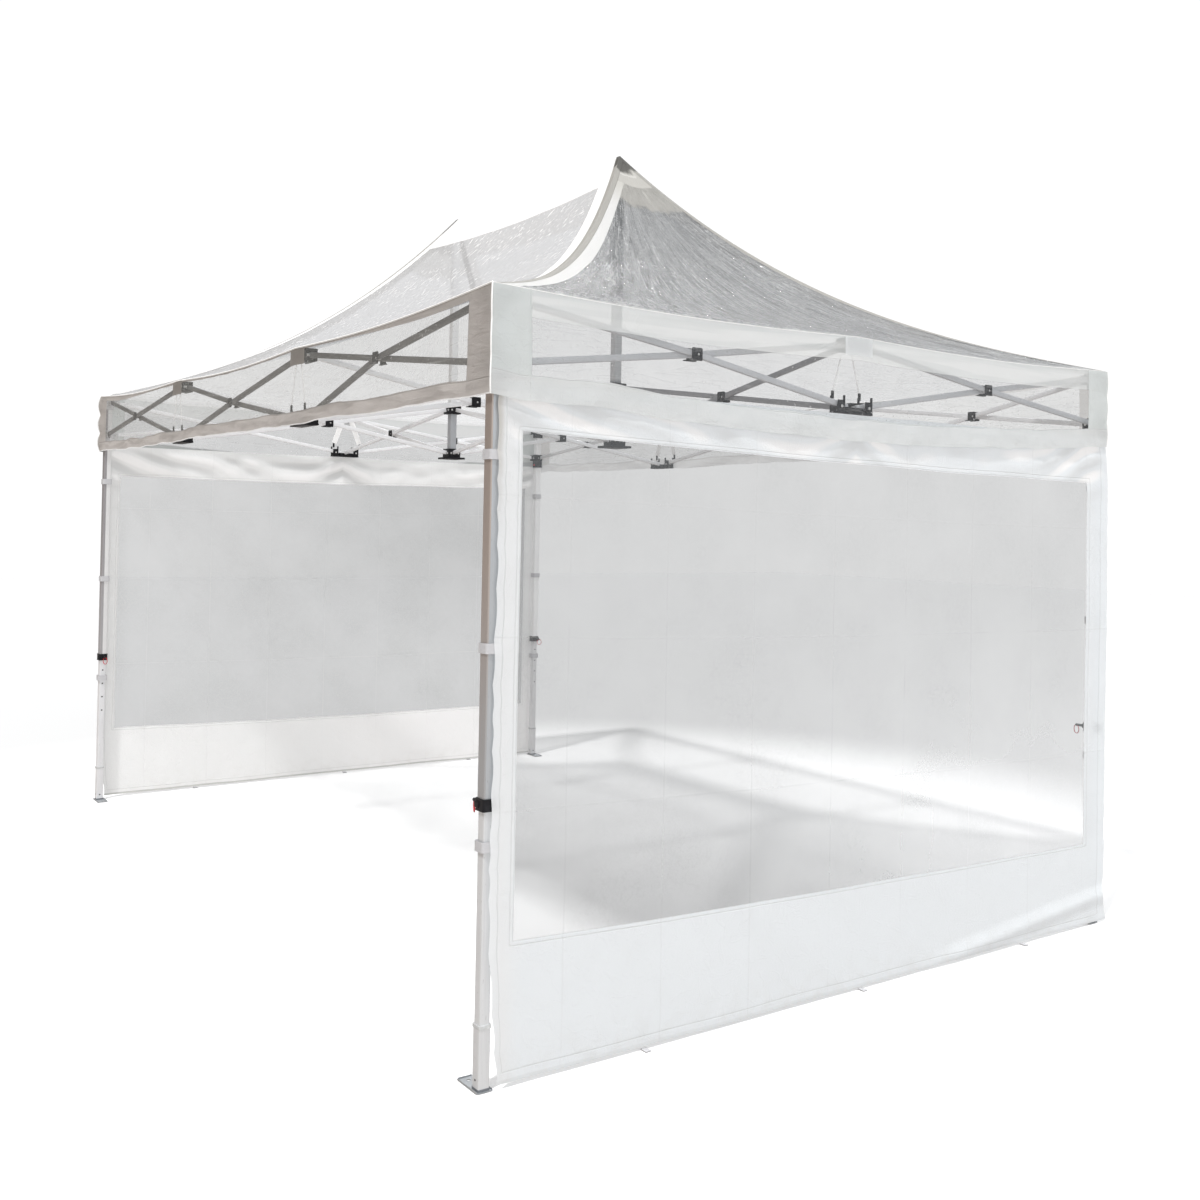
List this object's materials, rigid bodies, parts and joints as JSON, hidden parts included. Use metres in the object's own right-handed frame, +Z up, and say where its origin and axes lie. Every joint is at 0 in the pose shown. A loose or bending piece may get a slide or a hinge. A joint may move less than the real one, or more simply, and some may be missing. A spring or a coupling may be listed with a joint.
{
  "type": "marquee tent",
  "caption": "Pop-up marquee tent with a scissor-truss frame on telescoping legs, a clear two-peaked roof with hanging valances, and a clear-windowed fabric wall at each end.",
  "frame": {"origin": "on the ground, in the middle of the tent's footprint", "axes": "+X along the long open sides, +Y from the front open side to the back one, +Z up"},
  "size_m": [4.5, 3, 3.306],
  "materials": {
    "aluminium": "satin, lightly brushed and dull with handling",
    "black_plastic": "moulded, semi-matt",
    "white_fabric": "coated polyester with a faint weave and soft creases",
    "clear_film": "clear soft film, glossy and creased, edged with white coated fabric"
  },
  "bodies": {
    "canopy_frame": {"outer_leg_front_left": "aluminium", "leg_clamp_front_left": "black_plastic", "corner_head_front_left": "black_plastic", "corner_slider_front_left": "black_plastic", "outer_leg_front_right": "aluminium", "leg_clamp_front_right": "black_plastic", "corner_head_front_right": "black_plastic", "corner_slider_front_right": "black_plastic", "outer_leg_back_left": "aluminium", "leg_clamp_back_left": "black_plastic", "corner_head_back_left": "black_plastic", "corner_slider_back_left": "black_plastic", "outer_leg_back_right": "aluminium", "leg_clamp_back_right": "black_plastic", "corner_head_back_right": "black_plastic", "corner_slider_back_right": "black_plastic", "front_truss": "aluminium", "back_truss": "aluminium", "left_truss": "aluminium", "right_truss": "aluminium", "centre_post_left": "aluminium", "centre_post_right": "aluminium", "cross_scissor_front_left": "aluminium", "cross_scissor_front_right": "aluminium", "cross_scissor_back_left": "aluminium", "cross_scissor_back_right": "aluminium", "middle_scissor": "aluminium", "end_scissor_left": "aluminium", "end_scissor_right": "aluminium", "roof": "clear_film", "front_valance": "clear_film", "back_valance": "clear_film", "left_valance": "clear_film", "right_valance": "clear_film", "left_wall_border": "white_fabric", "left_wall_window": "clear_film", "right_wall_border": "white_fabric", "right_wall_window": "clear_film"},
    "lower_leg_front_left": {"inner_leg_front_left": "aluminium"},
    "lower_leg_front_right": {"inner_leg_front_right": "aluminium"},
    "lower_leg_back_left": {"inner_leg_back_left": "aluminium"},
    "lower_leg_back_right": {"inner_leg_back_right": "aluminium"}
  },
  "joints": [
    {"name": "leg_slide_front_left", "type": "slide", "parent": "canopy_frame", "child": "lower_leg_front_left", "axis": [0, 0, 1], "range_m": [0, 0.6]},
    {"name": "leg_slide_front_right", "type": "slide", "parent": "canopy_frame", "child": "lower_leg_front_right", "axis": [0, 0, 1], "range_m": [0, 0.6]},
    {"name": "leg_slide_back_left", "type": "slide", "parent": "canopy_frame", "child": "lower_leg_back_left", "axis": [0, 0, 1], "range_m": [0, 0.6]},
    {"name": "leg_slide_back_right", "type": "slide", "parent": "canopy_frame", "child": "lower_leg_back_right", "axis": [0, 0, 1], "range_m": [0, 0.6]}
  ]
}
